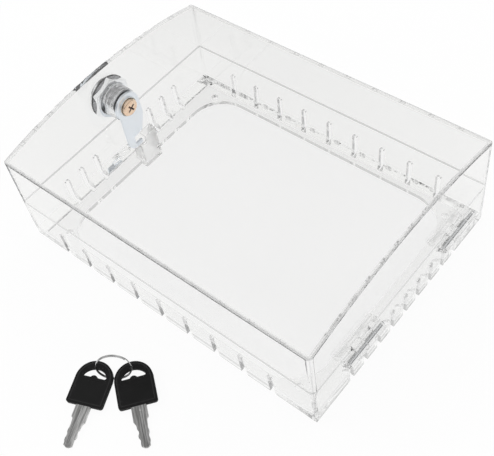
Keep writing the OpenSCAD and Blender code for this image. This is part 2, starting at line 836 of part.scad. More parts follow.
// Stepped edge of the blade, from the stem to the tip on one side
first_cut = 1.6 - blade_l;
cut_half = 0.6;
function edge_points(side, cuts) = [for (i = [0 : 4], end = [cut_half, -cut_half])
    [side * (cut_w / 2 - cuts[i]), first_cut + (4 - i) * wafer_pitch + end]];

function reversed(list) = [for (i = [len(list) - 1 : -1 : 0]) list[i]];

module key_blade() {
    mill_d = 0.35;
    mill_side = 0.4;
    mill_tip = 2;
    mill_head = 2.5;
    mill_l = blade_l - mill_tip - mill_head;
    w = blade_w / 2;
    c = cut_w / 2;
    step = w - c - 0.2;
    tip_in = 0.4;
    tip = [[-1.6, -blade_l + tip_in], [-0.9, -blade_l], [0.3, -blade_l], [1.1, -blade_l + tip_in]];
    color(nickel) difference() {
        union() {
            translate([0, 0, (head_t - blade_t) / 2]) linear_extrude(height = blade_t)
                polygon(concat([[-w, 0], [-w, -stem_l + step], [-c, -stem_l]],
                    edge_points(-1, right_cuts), tip, reversed(edge_points(1, left_cuts)),
                    [[c, -stem_l - 3 * step], [w, -stem_l - step], [w, 0]]));
            tang(0);
        }
        for (z = [-cut, (head_t + blade_t) / 2 - mill_d])
            translate([-groove_w / 2 - mill_side, -blade_l + mill_tip, z])
                cube([groove_w, mill_l, cut + (head_t - blade_t) / 2 + mill_d]);
    }
}

// Split ring of two turns, with the wire's two ends
module key_ring() {
    low = key_ring_r * sin(ring_tilt) + turn_gap * cos(ring_tilt) + wire_r;
    color([0.7, 0.7, 0.72]) translate([ring_x, ring_y, low])
        rotate([0, 0, ring_turn]) rotate([ring_tilt, 0, 0]) difference() {
            rotate_extrude($fn = 96) translate([key_ring_r, 0]) union() {
                translate([0, turn_gap]) circle(wire_r, $fn = 24);
                translate([0, -turn_gap]) circle(wire_r, $fn = 24);
            }
            for (up = [0, 1]) rotate([0, 0, 75 + 30 * up])
                translate([key_ring_r - 1, -0.2, up * 0.05 - (1 - up) * 1.05]) cube([2, 0.4, 1]);
        }
}

base_tray();
latch_keeper();
hinge_pin(-hinge_y);  // hinge_pin_near
hinge_pin(hinge_y);  // hinge_pin_far
lid_shell();
lock_housing();
lock_washer();
lock_nut();
lock_plug();
wafer(0);  // wafer_1
wafer(1);  // wafer_2
wafer(2);  // wafer_3
wafer(3);  // wafer_4
wafer(4);  // wafer_5
wafer_springs();
stop_washer();
lock_cam();
cam_washer();
cam_screw();
key_ring();
place_key(left_from_ring, left_turn) key_blade();  // key_blade_left
place_key(left_from_ring, left_turn) key_head();  // key_head_left
place_key(right_from_ring, right_turn) mirror([1, 0, 0]) key_blade();  // key_blade_right
place_key(right_from_ring, right_turn) mirror([1, 0, 0]) key_head();  // key_head_right
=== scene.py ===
# %% [markdown]
# # A clear lock box for a thermostat
#
# The box is a see-through plastic tray with an arched lid on two pinned hinges. A round
# cam lock goes through the lid's short wall, and two keys on a split ring lie in front.
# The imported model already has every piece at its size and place. This lesson gives the
# pieces the edges, threads, wires and finishes that the real ones have.

# %% Load the frame
import json
import math

import bpy
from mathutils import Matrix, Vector


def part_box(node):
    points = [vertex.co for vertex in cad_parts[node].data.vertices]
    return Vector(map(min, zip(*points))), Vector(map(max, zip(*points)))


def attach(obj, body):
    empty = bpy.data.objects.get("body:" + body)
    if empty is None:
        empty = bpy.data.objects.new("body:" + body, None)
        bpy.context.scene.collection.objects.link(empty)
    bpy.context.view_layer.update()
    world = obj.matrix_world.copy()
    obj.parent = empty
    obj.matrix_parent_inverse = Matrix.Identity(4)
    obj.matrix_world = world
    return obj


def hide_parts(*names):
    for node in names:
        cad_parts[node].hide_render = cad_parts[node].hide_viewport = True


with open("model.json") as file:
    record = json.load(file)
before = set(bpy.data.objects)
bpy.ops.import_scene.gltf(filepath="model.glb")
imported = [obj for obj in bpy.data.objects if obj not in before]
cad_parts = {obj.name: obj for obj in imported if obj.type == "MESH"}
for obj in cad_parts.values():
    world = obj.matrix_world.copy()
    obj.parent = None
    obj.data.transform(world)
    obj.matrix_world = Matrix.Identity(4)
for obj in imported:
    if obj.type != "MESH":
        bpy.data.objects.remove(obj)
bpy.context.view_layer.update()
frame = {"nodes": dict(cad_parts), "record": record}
nodes = frame["nodes"]

# %% [markdown]
# ## The camera
#
# The photograph looks down at the box from its near hinge corner, about 50 degrees above
# the table, and is tilted a little. A camera could be aimed with a Track To constraint,
# but that can't hold the small tilt, so the place and the three angles are given as found
# from the corners of the box in the photograph.

# %% Place the camera
MM = 0.001
photo_w = 494
focal_px = 881.64
camera_place = Vector((233.7, -215.16, 405.7)) * MM
camera_turn = (37.438, 6.634, 39.486)

lens = bpy.data.cameras.new("photo_camera")
lens.sensor_width = 36
lens.lens = focal_px * lens.sensor_width / photo_w
lens.clip_start = 20 * MM
camera = bpy.data.objects.new("photo_camera", lens)
bpy.context.scene.collection.objects.link(camera)
camera.location = camera_place
camera.rotation_euler = [math.radians(a) for a in camera_turn]
bpy.context.scene.camera = camera
print("lens", round(lens.lens, 2), "mm")

# %% [markdown]
# ## Maths on sockets
#
# A finish is a small sum of patterns. Each socket is wrapped in a class that knows plus,
# minus and times, so that a finish reads like a formula and the Math nodes are made along
# the way. Every other node comes from one method, make.

# %% Wrap a socket
class Signal:
    def __init__(self, tree, socket=None):
        self.tree = tree
        self.socket = socket

    def make(self, kind, settings=None, inputs=None, out=0):
        node = self.tree.nodes.new(kind)
        for name, value in (settings or {}).items():
            if name == "stops":
                elements = node.color_ramp.elements
                while len(elements) < len(value):
                    elements.new(0.5)
                for stop, (place, grey) in zip(elements, value):
                    stop.position = place
                    stop.color = (grey, grey, grey, 1)
            else:
                setattr(node, name, value)
        for name, value in (inputs or {}).items():
            if isinstance(value, Signal):
                self.tree.links.new(value.socket, node.inputs[name])
            else:
                node.inputs[name].default_value = value
        return Signal(self.tree, node.outputs[out] if len(node.outputs) else None)

    def maths(self, operation, a, b):
        return self.make("ShaderNodeMath", {"operation": operation}, {0: a, 1: b})

    def __add__(self, other):
        return self.maths("ADD", self, other)

    def __radd__(self, other):
        return self.maths("ADD", other, self)

    def __sub__(self, other):
        return self.maths("SUBTRACT", self, other)

    def __rsub__(self, other):
        return self.maths("SUBTRACT", other, self)

    def __mul__(self, other):
        return self.maths("MULTIPLY", self, other)

    def __rmul__(self, other):
        return self.maths("MULTIPLY", other, self)


print("operators:", [n for n in dir(Signal) if n in ("__add__", "__sub__", "__rsub__", "__mul__")])

# %% [markdown]
# ## Shares of a surface
#
# Most of what follows asks how far a point is from some line, face or axis, and turns that
# into a share from 0 to 1. These helpers take a number that varies over the surface and
# give back another.

# %% Distances and shares
def coordinate(at, k):
    """X, Y or Z of a point, for k of 0, 1 or 2."""
    return at.make("ShaderNodeSeparateXYZ", inputs={0: at}, out=k)


def length_of(at):
    return at.make("ShaderNodeVectorMath", {"operation": "LENGTH"}, {0: at}, out="Value")


def size_of(value):
    return value.maths("ABSOLUTE", value, 0.0)


def largest(first, *others):
    for other in others:
        first = first.maths("MAXIMUM", first, other)
    return first


def graded(value, low, high, at_low, at_high, way="LINEAR"):
    """at_low below low, at_high above high, and an even or smooth change between."""
    return value.make("ShaderNodeMapRange", {"interpolation_type": way},
                      {0: value, 1: low, 2: high, 3: at_low, 4: at_high})


def ramp(value, low, high):
    """0 below low, 1 above high."""
    return graded(value, low, high, 0.0, 1.0, "SMOOTHSTEP")


def near(value, place, reach):
    """1 at a place on a scale, falling to 0 at reach from it."""
    return 1 - ramp(size_of(value - place), reach / 2, reach)


print("helpers that give a share:", ramp.__name__, "and", near.__name__)

# %% Patterns and colours
def noise(at, scale, detail=2.0):
    return at.make("ShaderNodeTexNoise", inputs={"Vector": at, "Scale": scale, "Detail": detail})


def stretched(at, scale):
    return at.make("ShaderNodeMapping", {"vector_type": "POINT"}, {"Vector": at, "Scale": scale})


def between(at, share, low, high):
    """A colour between two, by a share from 0 to 1. Each is three numbers or a Signal."""
    low, high = [c if isinstance(c, Signal) else (*c, 1) for c in (low, high)]
    return at.make("ShaderNodeMix", {"data_type": "RGBA"}, {0: share, 6: low, 7: high}, out=2)


def bumped(at, height, strength, depth):
    return at.make("ShaderNodeBump",
                   inputs={"Height": height, "Strength": strength, "Distance": depth})


print("helpers for patterns:", noise.__name__, stretched.__name__, bumped.__name__)

# %% Start a material
def new_finish(name, plain):
    """A material with the given plain values, and the Object coordinates to paint by."""
    material = bpy.data.materials.new(name)
    material.use_nodes = True
    tree = material.node_tree
    tree.nodes.clear()
    start = Signal(tree)
    shader = start.make("ShaderNodeBsdfPrincipled", inputs=plain)
    start.make("ShaderNodeOutputMaterial", inputs={"Surface": shader})
    at = start.make("ShaderNodeTexCoord", out="Object")
    return material, shader.socket.node, at


def feed(at, shader, **signals):
    for name, signal in signals.items():
        at.tree.links.new(signal.socket, shader.inputs[name.replace("_", " ")])


print("finishes are named for what they cover")

# %% [markdown]
# ## Clear moulded plastic
#
# The tray and the lid are clear plastic. It could be a Glass shader, but the Principled
# shader with full transmission also keeps roughness and a soft moulding waviness in one
# place. The colour is a very pale grey: light loses a little of it each time it goes
# through a wall, which is why the box looks faintly grey on white. The keeper is of the
# same plastic, but looks like a soft grey block, so it bends light less and lets part of
# it straight through.
#
# Round its edges and on the cut sides of its vents, clear plastic looks grey, because the
# light there has come a long way through the wall. A render gives that only in specks, so
# grey is painted into the colour there as painted shade, and a little on the hinge
# knuckles too. Where "there" is follows from the depth of a point under each face of the
# box. The tray's walls lean in a little towards the foot, and the vents go down through
# the wall and on into the flange.

# %% Where the box gets painted shade
half_l = -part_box("lid_shell")[0][0]
half_w, top_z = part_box("lid_shell")[1][1:]
side_top = 63.2 * MM
split_z = 30 * MM
wall_t = 2.5 * MM
lean = 0.75 * MM
corner_r = 3 * MM
arm_l = 7 * MM
rim_w = 0.7 * MM
cut_reach = 1.1 * MM
cut_share = 0.7
knuckle_share = 0.25


def painted_shade_share(at):
    """Share of painted shade: 1 on the box's outer edges, less on cut sides and knuckles, 0 on its
    plain faces.
    """
    x, y, z = [coordinate(at, k) for k in range(3)]
    leaning = graded(z, 0.0, split_z, lean, 0.0)
    x_in = half_l - leaning - size_of(x)
    y_in = half_w - leaning - size_of(y)
    crown = top_z - y * y * ((top_z - side_top) / half_w ** 2)

    end, side, top = [1 - ramp(d, rim_w, 2 * rim_w) for d in (x_in, y_in, crown - z)]
    above_foot = ramp(z, 8 * MM, 12 * MM)
    outline = largest(end * side * above_foot, end * top, side * top)

    below_lid = 1 - ramp(z, split_z - 3 * MM, split_z - 2 * MM)
    cuts = largest(near(x_in, wall_t / 2, cut_reach) * ramp(y_in, corner_r, corner_r + MM),
                   near(y_in, wall_t / 2, cut_reach) * ramp(x_in, corner_r, corner_r + MM))

    deep = z.maths("MINIMUM", x_in, y_in)
    in_flange = ramp(deep, wall_t, wall_t + MM) * (1 - ramp(deep, arm_l, arm_l + MM))
    arms = near(z, wall_t / 2, cut_reach) * in_flange

    knuckles = 1 - ramp(x_in, -0.5 * MM, -0.1 * MM)
    return largest(outline, cuts * below_lid * cut_share, arms * cut_share,
                   knuckles * knuckle_share)


print("box half sizes:", round(half_l / MM, 2), round(half_w / MM, 2), "top:", round(top_z / MM, 2))

# %% Clear plastic
def clear(name, low, high, rough, plain, painted_edge_shade=None):
    """Clear plastic between two tints, polished or a little matt, with painted shade at its edges if
    given.
    """
    material, shader, at = new_finish(name, {"Transmission Weight": 1.0, **plain})
    flow = noise(at, 14.0)
    haze = noise(at, 160.0, 4.0)
    tint = between(at, flow, low, high)
    # painted shade: grey is mixed into the tint on edges, cut sides and knuckles
    if painted_edge_shade:
        tint = between(at, painted_shade_share(at), tint, painted_edge_shade)
    feed(at, shader,
         Base_Color=tint,
         Roughness=rough + haze * rough,
         Normal=bumped(at, flow + haze * 0.02, 0.08, 2 * MM))
    return material


clear_plastic = clear(
    "clear_plastic", low=(0.98, 0.98, 0.976), high=(0.96, 0.96, 0.955), rough=0.008,
    plain={"IOR": 1.5}, painted_edge_shade=(0.58, 0.58, 0.585))
keeper_plastic = clear(
    "keeper_plastic", low=(0.98, 0.98, 0.98), high=(0.92, 0.92, 0.925), rough=0.2,
    plain={"IOR": 1.15, "Alpha": 0.42})
print("made", clear_plastic.name, "and", keeper_plastic.name)

# %% [markdown]
# ## Metals
#
# The nut is zinc with a bright plating, the cam is a stamped plate with a bluish
# passivation, the stop plate behind it is coloured near black as a painted shadow, and
# pins, springs and split ring are steel or nickel. Metal is all reflection, so what tells
# these apart is the tint of the reflection, how sharp it is, and the fine marks of how
# each was made.

# %% A helper for metals
def metal(name, low, high, rough, spread, marks, depth, grain=(1, 1, 1)):
    """A metal whose tint and gloss wander a little, with fine marks along a grain."""
    material, shader, at = new_finish(name, {"Metallic": 1.0})
    cloud = noise(at, 180.0, 3.0)
    fine = noise(stretched(at, grain), marks, 4.0)
    feed(at, shader,
         Base_Color=between(at, cloud, low, high),
         Roughness=rough + cloud * spread,
         Normal=bumped(at, fine, 0.3, depth))
    return material


bright_zinc = metal(
    "bright_zinc", low=(0.88, 0.89, 0.90), high=(0.97, 0.98, 0.99),
    rough=0.08, spread=0.14, marks=900.0, depth=0.04 * MM, grain=(6, 1, 1))
cam_zinc = metal(
    "cam_zinc", low=(0.86, 0.92, 0.99), high=(0.94, 0.97, 1.0),
    rough=0.25, spread=0.2, marks=500.0, depth=0.04 * MM, grain=(1, 1, 6))
# painted shadow: the stop plate behind the cam is coloured near black
painted_shadow_zinc = metal(
    "painted_shadow_zinc", low=(0.05, 0.05, 0.055), high=(0.12, 0.12, 0.13),
    rough=0.3, spread=0.2, marks=500.0, depth=0.04 * MM)
pin_steel = metal(
    "pin_steel", low=(0.50, 0.51, 0.52), high=(0.90, 0.91, 0.92),
    rough=0.1, spread=0.1, marks=400.0, depth=0.06 * MM, grain=(1, 0.1, 1))
spring_steel = metal(
    "spring_steel", low=(0.5, 0.5, 0.51), high=(0.68, 0.68, 0.69),
    rough=0.15, spread=0.15, marks=900.0, depth=0.02 * MM)
brass = metal(
    "brass", low=(0.68, 0.50, 0.22), high=(0.86, 0.68, 0.36),
    rough=0.16, spread=0.16, marks=700.0, depth=0.03 * MM)
ring_nickel = metal(
    "ring_nickel", low=(0.5, 0.5, 0.5), high=(0.75, 0.75, 0.75),
    rough=0.12, spread=0.12, marks=900.0, depth=0.02 * MM)
print("metals:", [m.name for m in bpy.data.materials if m.name.endswith(("zinc", "steel", "nickel"))])

# %% [markdown]
# ## Metals with painted shade in their hollows
#
# Painted shade sits in the roots of the thread, in the screw's cross, round its head and
# on the rim of the washer under the nut. All of these are round the lock's axis, so the
# distance of a point from that axis and its place along it say where to darken. The
# thread is too fine to show, so its bright lines are painted highlights, broken streaks of
# noise stretched round the barrel. Where metal lies flat on the clear wall, no light gets
# between the two in a render, though a little does in a real lock, so those faces have a
# faint painted light of their own.

# %% Round the lock's axis
def middle(node):
    low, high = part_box(node)
    return [(low[k] + high[k]) / 2 for k in range(3)]


lock_axis = middle("lock_washer")


def from_axis(at):
    """How far a point is from the lock's axis, in metres."""
    flat = at.make("ShaderNodeVectorMath", {"operation": "MULTIPLY_ADD"},
                   {0: at, 1: (0, 1, 1), 2: (0, -lock_axis[1], -lock_axis[2])})
    return length_of(flat)


def along_axis(at):
    return coordinate(at, 0)


print("lock axis:", [round(v / MM, 2) for v in lock_axis])

# %% A helper for metals with painted shade
def metal_with_painted_shade(name, low, high, dark, unshaded, rough, wall_face=None):
    """A metal with painted shade, its dark colour, where unshaded, a share found from the
    coordinates, is 0.

    On wall_face, the plane where it lies on the clear wall, it has a faint painted glow of its own.
    """
    material, shader, at = new_finish(name, {"Metallic": 1.0})
    cloud = noise(at, 300.0, 3.0)
    fine = noise(at, 1200.0, 3.0)
    if wall_face is not None:
        # painted light: a faint glow on the faces that lie on the clear wall
        shader.inputs["Emission Strength"].default_value = 1.0
        glow = between(at, cloud, (0.01, 0.01, 0.01), (0.16, 0.16, 0.16))
        on_wall = near(along_axis(at), wall_face, 0.1 * MM)
        feed(at, shader, Emission_Color=between(at, on_wall, (0, 0, 0), glow))
    # painted shade: the colour goes to dark where unshaded is 0
    feed(at, shader,
         Base_Color=between(at, unshaded(at), dark, between(at, cloud, low, high)),
         Roughness=rough + cloud * 0.14,
         Normal=bumped(at, fine, 0.3, 0.03 * MM))
    return material


washer_low, washer_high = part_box("lock_washer")
under_nut_r = (washer_high[1] - washer_low[1]) / 2
inside_wall = washer_low[0]
outside_wall = inside_wall - wall_t
screw_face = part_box("cam_screw")[1][0]
print("lid's short wall:", round(outside_wall / MM, 2), "to", round(inside_wall / MM, 2))

# %% Where each is free of painted shade
def thread_streaks(at):
    """Painted highlights as broken bright lines round the barrel, with painted shade at 0 between
    them, and 1 away from the thread.
    """
    r = from_axis(at)
    on_thread = ramp(r, 8.3 * MM, 8.7 * MM) * (1 - ramp(r, 9.55 * MM, 9.7 * MM))
    streak = ramp(noise(stretched(at, (1, 0.12, 0.12)), 750.0, 3.0), 0.38, 0.62)
    return 1 - on_thread * (1 - streak)


def off_washer_rim(at):
    """0 on the outer rim of the washer under the nut, where the nut's shadow is painted."""
    return 1 - ramp(from_axis(at), under_nut_r - 0.6 * MM, under_nut_r - 0.2 * MM)


def clear_of_screw(at):
    """0 on the small washer close round the screw's head, where the head's shadow is painted."""
    return ramp(from_axis(at), 5.4 * MM, 6.1 * MM)


def off_cross(at):
    """0 deep in the screw's cross, where shade is painted, 1 on its face and round its rim."""
    on_face = ramp(along_axis(at), screw_face - 1.1 * MM, screw_face - 0.4 * MM)
    return on_face + ramp(from_axis(at), 3.2 * MM, 3.6 * MM)


# painted highlights and painted shade on the thread, and a faint painted glow where the body lies on
# the wall
lock_zinc = metal_with_painted_shade(
    "lock_zinc", low=(0.88, 0.89, 0.90), high=(0.97, 0.98, 0.99), dark=(0.55, 0.55, 0.56),
    unshaded=thread_streaks, rough=0.14, wall_face=outside_wall)
# painted shade: the washer under the nut is coloured dark, darker at its rim as the nut's painted
# shadow, with a faint painted glow where it lies on the wall
painted_shade_zinc = metal_with_painted_shade(
    "painted_shade_zinc", low=(0.32, 0.32, 0.33), high=(0.5, 0.5, 0.51), dark=(0.1, 0.1, 0.1),
    unshaded=off_washer_rim, rough=0.2, wall_face=inside_wall)
# painted shadow of the screw's head on the washer round it
washer_zinc = metal_with_painted_shade(
    "washer_zinc", low=(0.74, 0.77, 0.78), high=(0.90, 0.93, 0.94), dark=(0.14, 0.13, 0.09),
    unshaded=clear_of_screw, rough=0.14)
# painted shade deep in the screw's cross
copper_screw = metal_with_painted_shade(
    "copper_screw", low=(0.90, 0.58, 0.38), high=(1.0, 0.84, 0.66), dark=(0.12, 0.06, 0.03),
    unshaded=off_cross, rough=0.2)
print("with_painted_shade:", lock_zinc.name, painted_shade_zinc.name, washer_zinc.name, copper_screw.name)

# %% [markdown]
# ## The keys
#
# Each key lies turned, so along and across the key are not the same as X and Y. The
# coordinates are first moved to the foot, where the blade meets the head, and turned by
# the key's angle. What follows is then the same for both keys.

# %% Along and across a turned key
left_key = {"foot": (3.3 * MM, -142.1 * MM), "turn": math.radians(22.6)}
right_key = {"foot": (26.7 * MM, -125.0 * MM), "turn": math.radians(52.5)}


def across_and_along(at, key):
    c, s = math.cos(key["turn"]), math.sin(key["turn"])
    x, y = [coordinate(at, k) - key["foot"][k] for k in range(2)]
    return x * c + y * s, y * c - x * s


print("keys lie at", left_key, right_key)

# %% [markdown]
# ## Black key heads
#
# The heads are moulded over the keys in black plastic with a fine spark-eroded grain. A
# faint paler line, a painted highlight on the step round the head's panel, runs a little
# inside the edge. Its place is the depth under the outline, which is straight up to the
# shoulder and a half circle above it.

# %% Black plastic
head_l = 25 * MM
head_r = 10.3 * MM
highlight_depth = 1.4 * MM
highlight_reach = 0.4 * MM


def head_black(name, key):
    material, shader, at = new_finish(name, {"IOR": 1.5, "Specular IOR Level": 0.25})
    grain = noise(at, 2600.0, 2.0)
    wear = noise(at, 120.0, 3.0)
    across, length = across_and_along(at, key)
    over = length.maths("MAXIMUM", length - (head_l - head_r), 0.0)
    from_middle = at.make("ShaderNodeCombineXYZ", inputs={0: across, 1: over})
    deep = length.maths("MINIMUM", head_r - length_of(from_middle), length)
    black = between(at, wear, (0.005, 0.005, 0.005), (0.009, 0.009, 0.009))
    # painted highlight: a paler line a little inside the head's edge
    on_painted_highlight = near(deep, highlight_depth, highlight_reach)
    feed(at, shader,
         Base_Color=between(at, on_painted_highlight, black, (0.022, 0.022, 0.022)),
         Roughness=0.38 + wear * 0.2,
         Normal=bumped(at, grain, 0.35, 0.05 * MM))
    return material


left_black = head_black("left_key_black", left_key)
right_black = head_black("right_key_black", right_key)
print("heads:", left_black.name, right_black.name)

# %% [markdown]
# ## Key blades
#
# A key blade is stamped and milled, so it has fine lines along its length and a groove
# whose sides catch shadow, which is painted on as darker lines. The place across the
# blade says where those two sides are.

# %% Nickel with lines along the blade
groove_half_w = 0.65 * MM


def blade_nickel(name, key, groove):
    """groove is how far the groove's middle lies across from the blade's middle."""
    material, shader, at = new_finish(name, {"Metallic": 1.0})
    across, length = across_and_along(at, key)
    lined = at.make("ShaderNodeCombineXYZ", inputs={0: across, 1: length * 0.08})
    lines = noise(lined, 2600.0, 4.0)
    streaks = ramp(noise(lined, 900.0, 3.0), 0.35, 0.65)
    nickel = between(at, streaks, (0.42, 0.42, 0.41), (0.95, 0.95, 0.94))
    # painted shade along the two sides of the groove
    from_side = size_of(size_of(across - groove) - groove_half_w)
    unshaded = ramp(from_side, 0.06 * MM, 0.3 * MM)
    feed(at, shader,
         Base_Color=between(at, unshaded, (0.42, 0.42, 0.42), nickel),
         Roughness=0.18 + lines * 0.3,
         Normal=bumped(at, lines, 0.5, 0.08 * MM))
    return material


left_nickel = blade_nickel("left_key_nickel", left_key, -0.4 * MM)
right_nickel = blade_nickel("right_key_nickel", right_key, 0.4 * MM)
print("blades:", left_nickel.name, right_nickel.name)

# %% [markdown]
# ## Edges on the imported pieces
#
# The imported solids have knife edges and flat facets. A copy of each is merged into one
# skin, its flat facets are joined, and a tiny Bevel is applied, because real edges are
# never sharp and their thin bright lines are what the eye reads first. The copy then
# stands in for its CAD node.

# %% Ways to pick a piece and finish it
def alone(piece):
    if bpy.context.object and bpy.context.object.mode != "OBJECT":
        bpy.ops.object.mode_set(mode="OBJECT")
    bpy.ops.object.select_all(action="DESELECT")
    piece.select_set(True)
    bpy.context.view_layer.objects.active = piece


def body_of(node):
    bodies = frame["record"]["behaviour"]["bodies"]
    return next(body for body, members in bodies.items() if node in members)


def finish_with(piece, material, node_names):
    """Puts the finish on the piece, and lets it stand for its CAD nodes."""
    piece.data.materials.clear()
    piece.data.materials.append(material)
    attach(piece, body_of(node_names[0]))
    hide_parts(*node_names)


print("the lid rides on", body_of("lid_shell"))

# %% Dress a CAD node
same_place = 0.001 * MM
flat_enough = math.radians(0.2)
edge_angle = math.radians(30)


def dress(node, name, material, bevel):
    piece = nodes[node].copy()
    piece.data = nodes[node].data.copy()
    piece.parent = None
    for key in list(piece.keys()):
        del piece[key]
    piece.name = piece.data.name = name
    bpy.context.scene.collection.objects.link(piece)
    alone(piece)
    bpy.ops.object.mode_set(mode="EDIT")
    bpy.ops.mesh.select_all(action="SELECT")
    bpy.ops.mesh.remove_doubles(threshold=same_place)
    bpy.ops.mesh.dissolve_limited(angle_limit=flat_enough)
    bpy.ops.object.mode_set(mode="OBJECT")
    if bevel:
        edge = piece.modifiers.new("edges", "BEVEL")
        edge.width = bevel
        edge.segments = 2
        edge.limit_method = "ANGLE"
        edge.angle_limit = edge_angle
        edge.miter_outer = "MITER_ARC"
        bpy.ops.object.modifier_apply(modifier="edges")
    bpy.ops.object.shade_smooth_by_angle(angle=edge_angle)
    even = piece.modifiers.new("even", "WEIGHTED_NORMAL")
    even.weight = 100
    even.keep_sharp = True
    bpy.ops.object.modifier_apply(modifier="even")
    finish_with(piece, material, [node])
    print(name, len(piece.data.polygons), "faces")


print("edges sharper than", round(math.degrees(edge_angle)), "degrees are bevelled")

# %% Each CAD node, with its piece, finish, slot and bevel in millimetres
wafers = ["wafer_" + number for number in "12345"]
dressed = {
    "lock_nut": ("clamping_nut", bright_zinc, "lock_zinc", 0.12),
    "lock_washer": ("washer_under_nut", painted_shade_zinc, "lock_zinc", 0.1),
    "lock_housing": ("threaded_lock_body", lock_zinc, "lock_zinc", 0),
    "lock_plug": ("turning_plug", lock_zinc, "lock_zinc", 0),
    "stop_washer": ("stop_plate", painted_shadow_zinc, "bright_zinc", 0),
    "lock_cam": ("locking_cam", cam_zinc, "bright_zinc", 0.15),
    "cam_washer": ("screw_washer", washer_zinc, "lock_zinc", 0.1),
    "cam_screw": ("cross_head_screw", copper_screw, "copper_screw", 0.06),
    "hinge_pin_near": ("near_hinge_pin", pin_steel, "pin_steel", 0),
    "hinge_pin_far": ("far_hinge_pin", pin_steel, "pin_steel", 0),
    "key_blade_left": ("left_key_blade", left_nickel, "key_nickel", 0),
    "key_blade_right": ("right_key_blade", right_nickel, "key_nickel", 0),
    "key_head_left": ("left_key_head", left_black, "key_black", 0.06),
    "key_head_right": ("right_key_head", right_black, "key_black", 0.06),
    "base_tray": ("clear_tray", clear_plastic, "clear_plastic", 0.2),
    "lid_shell": ("clear_lid", clear_plastic, "clear_plastic", 0.2),
    "latch_keeper": ("clear_keeper", keeper_plastic, "clear_plastic", 0.25),
    **{wafer: ("brass_" + wafer, brass, "brass", 0.04) for wafer in wafers},
}
for node, (name, material, slot, bevel_mm) in dressed.items():
    dress(node, name, material, bevel_mm * MM)

# %% [markdown]
# ## The split ring
#
# A split ring is one wire wound twice round, flat on itself, with a short ramp where it
# changes from the lower turn to the upper one. A curve could follow that path, but Spin
# makes each flat stretch in one call: the wire's round section is a filled circle, and
# each Spin carries it on round the ring's axis. On the ramp it also climbs a little.

# %% Wind the ring
wire_r = 0.31 * MM
ring_r = 9.3 * MM
half_rise = 0.38 * MM
lower_turn, ramp_turn, upper_turn = 322, 34, 324
turn_steps, ramp_steps = 80, 8


def go_round(degrees, steps, climb=0.0):
    bpy.ops.mesh.spin(steps=steps, angle=math.radians(degrees), center=(0, 0, 0), axis=(0, 0, 1))
    if climb:
        bpy.ops.transform.translate(value=(0, 0, climb))


def turn_normals_out(piece):
    alone(piece)
    bpy.ops.object.mode_set(mode="EDIT")
    bpy.ops.mesh.select_all(action="SELECT")
    bpy.ops.mesh.remove_doubles(threshold=same_place)
    bpy.ops.mesh.normals_make_consistent(inside=False)
    bpy.ops.object.mode_set(mode="OBJECT")


bpy.ops.object.select_all(action="DESELECT")
bpy.ops.mesh.primitive_circle_add(vertices=14, radius=wire_r, fill_type="NGON",
                                  location=(ring_r, 0, -half_rise), rotation=(math.pi / 2, 0, 0))
split_ring = bpy.context.object
split_ring.name = split_ring.data.name = "split_ring"
bpy.ops.object.transform_apply(location=True, rotation=True, scale=True)
bpy.ops.object.mode_set(mode="EDIT")
bpy.ops.mesh.select_all(action="SELECT")
go_round(lower_turn, turn_steps)
for step in range(ramp_steps):
    go_round(ramp_turn / ramp_steps, 1, 2 * half_rise / ramp_steps)
go_round(upper_turn, turn_steps)
bpy.ops.object.mode_set(mode="OBJECT")
turn_normals_out(split_ring)
print("ring box:", [round(v / MM, 2) for v in split_ring.dimensions])

# %% Stand the ring in the keys
ring_turn = (80, 0, 40)
split_ring.rotation_euler = [math.radians(a) for a in ring_turn]
split_ring.location = middle("key_ring")
bpy.ops.object.transform_apply(location=True, rotation=True, scale=True)
bpy.ops.object.shade_smooth_by_angle(angle=math.radians(50))
finish_with(split_ring, ring_nickel, ["key_ring"])
print("ring stands at", [round(v / MM, 2) for v in middle("key_ring")])

# %% [markdown]
# ## Wafer springs
#
# Each wafer has a coil of thin wire under its ear. A coil is the job of the Screw modifier:
# it winds a small circle up round an axis, so that the number of turns and the pitch are
# two numbers. One coil is wound, closed at its ends and copied five times.

# %% Wind one spring
spring_low, spring_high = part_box("wafer_springs")
spring_l = spring_high[2] - spring_low[2]
spring_r = 0.45 * MM
thin_wire = 0.1 * MM
turns = 7
bpy.ops.object.select_all(action="DESELECT")
bpy.ops.mesh.primitive_circle_add(vertices=8, radius=thin_wire, rotation=(math.pi / 2, 0, 0),
                                  location=(spring_r - thin_wire, 0, thin_wire - spring_l / 2))
spring = bpy.context.object
bpy.ops.object.transform_apply(location=True, rotation=True, scale=True)
winding = spring.modifiers.new("winding", "SCREW")
winding.iterations = turns
winding.screw_offset = (spring_l - 2 * thin_wire) / turns
winding.steps = winding.render_steps = 16
bpy.ops.object.modifier_apply(modifier="winding")
bpy.ops.object.mode_set(mode="EDIT")
bpy.ops.mesh.select_all(action="SELECT")
bpy.ops.mesh.fill_holes(sides=0)
bpy.ops.object.mode_set(mode="OBJECT")
turn_normals_out(spring)
print("spring:", [round(v / MM, 2) for v in spring.dimensions], len(spring.data.polygons), "faces")

# %% Copy it under each wafer
row_y, row_z = middle("wafer_springs")[1:]
coils = []
for wafer in wafers:
    coil = spring.copy()
    coil.data = spring.data.copy()
    bpy.context.scene.collection.objects.link(coil)
    coil.location = (middle(wafer)[0], row_y, row_z)
    coils.append(coil)
bpy.data.objects.remove(spring)
alone(coils[0])
for coil in coils:
    coil.select_set(True)
bpy.ops.object.join()
bpy.ops.object.transform_apply(location=True, rotation=True, scale=True)
bpy.ops.object.shade_smooth_by_angle(angle=math.radians(60))
coils[0].name = coils[0].data.name = "wafer_coils"
finish_with(coils[0], spring_steel, ["wafer_springs"])
print("springs:", [round(v / MM, 2) for v in coils[0].dimensions])

